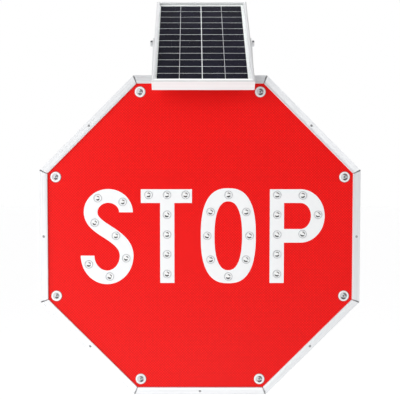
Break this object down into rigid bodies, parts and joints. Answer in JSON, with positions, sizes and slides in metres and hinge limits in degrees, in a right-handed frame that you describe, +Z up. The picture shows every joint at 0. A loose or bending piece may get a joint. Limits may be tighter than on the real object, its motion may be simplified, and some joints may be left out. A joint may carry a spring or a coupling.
{
  "type": "solar flashing stop sign",
  "caption": "Octagonal aluminium box sign with a red face, STOP legend, clear light lenses, mitred frame and a tilting solar panel above the top edge.",
  "frame": {"origin": "centre of the mounting plane, midway between the slots of the two mount rails on their rear faces", "axes": "+Z up along the sign's height; the face looks along -Y and +Y points from the back towards the pole; +X is the viewer's right"},
  "size_m": [0.6046, 0.2069, 0.779],
  "materials": {
    "frame_aluminium": "satin anodised extrusion",
    "sheet_aluminium": "mill finish sheet",
    "bracket_aluminium": "mill finish",
    "red_sheeting": "prismatic reflective film",
    "clear_lens": "clear polished plastic",
    "white_plastic": "white gloss",
    "circuit_board": "green solder mask",
    "led_package": "moulded package",
    "brass": "turned brass",
    "white_support": "moulded plastic",
    "battery_wrap": "shrink wrap",
    "zinc_steel": "zinc plated steel",
    "black_component": "moulded",
    "black_plastic": "moulded nylon",
    "panel_aluminium": "silver anodised extrusion",
    "panel_glass": "tempered glass",
    "solar_cell": "blue black silicon",
    "cell_ribbon": "tinned ribbon",
    "white_backsheet": "white polymer sheet"
  },
  "bodies": {
    "sign": {"frame_rail_bottom": "frame_aluminium", "frame_rail_lower_left": "frame_aluminium", "frame_rail_left": "frame_aluminium", "frame_rail_upper_left": "frame_aluminium", "frame_rail_top": "frame_aluminium", "frame_rail_upper_right": "frame_aluminium", "frame_rail_right": "frame_aluminium", "frame_rail_lower_right": "frame_aluminium", "mount_rail_upper": "frame_aluminium", "mount_rail_lower": "frame_aluminium", "face_plate": "sheet_aluminium", "back_plate": "sheet_aluminium", "panel_bracket_left": "bracket_aluminium", "panel_bracket_right": "bracket_aluminium", "corner_keys": "bracket_aluminium", "face_clips": "bracket_aluminium", "rail_rivets": "bracket_aluminium", "reflective_sheeting": "red_sheeting", "letter_lenses": "clear_lens", "border_lenses": "clear_lens", "border_bezels": "white_plastic", "led_board_s": "circuit_board", "led_board_t": "circuit_board", "led_board_o": "circuit_board", "led_board_p": "circuit_board", "border_led_boards": "circuit_board", "controller_board": "circuit_board", "letter_leds": "led_package", "border_leds": "led_package", "letter_board_standoffs": "brass", "controller_standoffs": "brass", "border_board_legs": "white_support", "battery_pack": "battery_wrap", "face_clip_screws": "zinc_steel", "back_plate_screws": "zinc_steel", "battery_straps": "zinc_steel", "battery_strap_screws": "zinc_steel", "bracket_screws": "zinc_steel", "bracket_nuts": "zinc_steel", "controller_components": "black_component", "housing_gland": "black_plastic", "housing_gland_nut": "black_plastic"},
    "solar_panel": {"panel_rail_bottom": "panel_aluminium", "panel_rail_top": "panel_aluminium", "panel_rail_left": "panel_aluminium", "panel_rail_right": "panel_aluminium", "panel_corner_keys": "bracket_aluminium", "panel_glass": "panel_glass", "cell_ribbons": "cell_ribbon", "solar_cells_left": "solar_cell", "solar_cells_right": "solar_cell", "backsheet": "white_backsheet", "junction_box": "black_plastic", "junction_box_lid": "black_plastic", "panel_gland": "black_plastic", "pivot_bolts": "zinc_steel", "pivot_washers": "zinc_steel", "pivot_spacers": "black_plastic", "pivot_nuts": "zinc_steel"}
  },
  "joints": [
    {"name": "panel_tilt", "type": "hinge", "parent": "sign", "child": "solar_panel", "pos_m": [0.005, 0.0085, 0.372], "axis": [1, 0, 0], "range_deg": [-45, 1.5]}
  ]
}
